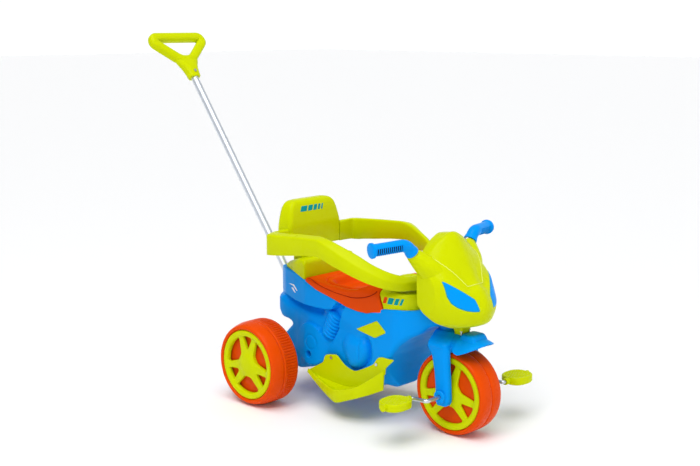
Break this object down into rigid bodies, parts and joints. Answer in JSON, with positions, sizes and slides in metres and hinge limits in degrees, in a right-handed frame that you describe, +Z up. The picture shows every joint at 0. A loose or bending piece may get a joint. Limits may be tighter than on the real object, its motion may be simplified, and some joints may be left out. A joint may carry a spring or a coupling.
{
  "type": "children's tricycle",
  "caption": "Pedal tricycle for small children with a moulded body, seat with backrest, guard ring, footrests, motorcycle-style mask and a rear push handle.",
  "frame": {"origin": "on the floor, under the middle of the rear axle", "axes": "+X forwards, +Y to the rider's left, +Z up"},
  "size_m": [1.2434, 0.482, 1],
  "materials": {
    "lime_plastic": "gloss",
    "blue_plastic": "gloss",
    "orange_plastic": "gloss",
    "steel": "satin",
    "nylon": "matte"
  },
  "bodies": {
    "chassis": {"body_shell_right": "blue_plastic", "body_shell_left": "blue_plastic", "body_screws": "steel", "side_badges": "lime_plastic", "seat": "orange_plastic", "seat_screws": "steel", "backrest": "lime_plastic", "tank_cover": "lime_plastic", "guard_ring": "lime_plastic", "ring_screws": "steel", "footrest_right": "lime_plastic", "footrest_left": "lime_plastic", "footrest_screws": "steel", "rear_axle": "steel", "axle_spacer_right": "blue_plastic", "axle_spacer_left": "blue_plastic", "axle_push_nuts": "steel", "head_bush_lower": "nylon", "head_bush_upper": "nylon", "push_socket": "blue_plastic"},
    "steering": {"fork": "blue_plastic", "fork_bushes": "nylon", "fender": "blue_plastic", "fender_screws": "steel", "column_cap": "blue_plastic", "handlebar": "steel", "handlebar_bolt": "steel", "grip_right": "blue_plastic", "grip_left": "blue_plastic", "mask": "lime_plastic", "mask_bracket": "lime_plastic", "mask_screws": "steel", "headlight_right": "blue_plastic", "headlight_left": "blue_plastic"},
    "front_wheel": {"front_wheel_right": "orange_plastic", "front_wheel_left": "orange_plastic", "front_cap_right": "lime_plastic", "front_cap_left": "lime_plastic", "crank": "steel", "pedal_nuts": "lime_plastic"},
    "pedal_right": {"pedal_right": "lime_plastic"},
    "pedal_left": {"pedal_left": "lime_plastic"},
    "rear_wheel_right": {"rear_wheel_right_outer": "orange_plastic", "rear_wheel_right_inner": "orange_plastic", "rear_cap_right": "lime_plastic"},
    "rear_wheel_left": {"rear_wheel_left_outer": "orange_plastic", "rear_wheel_left_inner": "orange_plastic", "rear_cap_left": "lime_plastic"},
    "push_handle": {"push_tube": "steel", "push_grip": "lime_plastic", "push_grip_screw": "steel"}
  },
  "joints": [
    {"name": "steer", "type": "hinge", "parent": "chassis", "child": "steering", "pos_m": [0.539, 0, 0.109], "axis": [-0.2351, 0, 0.972], "range_deg": [-25, 25]},
    {"name": "front_wheel_spin", "type": "hinge", "parent": "steering", "child": "front_wheel", "pos_m": [0.539, 0, 0.109], "axis": [0, 1, 0], "continuous": true},
    {"name": "pedal_right_spin", "type": "hinge", "parent": "front_wheel", "child": "pedal_right", "pos_m": [0.49053, 0, 0.10731], "axis": [0, 1, 0], "continuous": true},
    {"name": "pedal_left_spin", "type": "hinge", "parent": "front_wheel", "child": "pedal_left", "pos_m": [0.58747, 0, 0.11069], "axis": [0, 1, 0], "continuous": true},
    {"name": "rear_wheel_right_spin", "type": "hinge", "parent": "chassis", "child": "rear_wheel_right", "pos_m": [0, 0, 0.115], "axis": [0, 1, 0], "continuous": true},
    {"name": "rear_wheel_left_spin", "type": "hinge", "parent": "chassis", "child": "rear_wheel_left", "pos_m": [0, 0, 0.115], "axis": [0, 1, 0], "continuous": true},
    {"name": "push_handle_slide", "type": "slide", "parent": "chassis", "child": "push_handle", "axis": [-0.5962, 0, 0.8028], "range_m": [0, 0.07]}
  ]
}
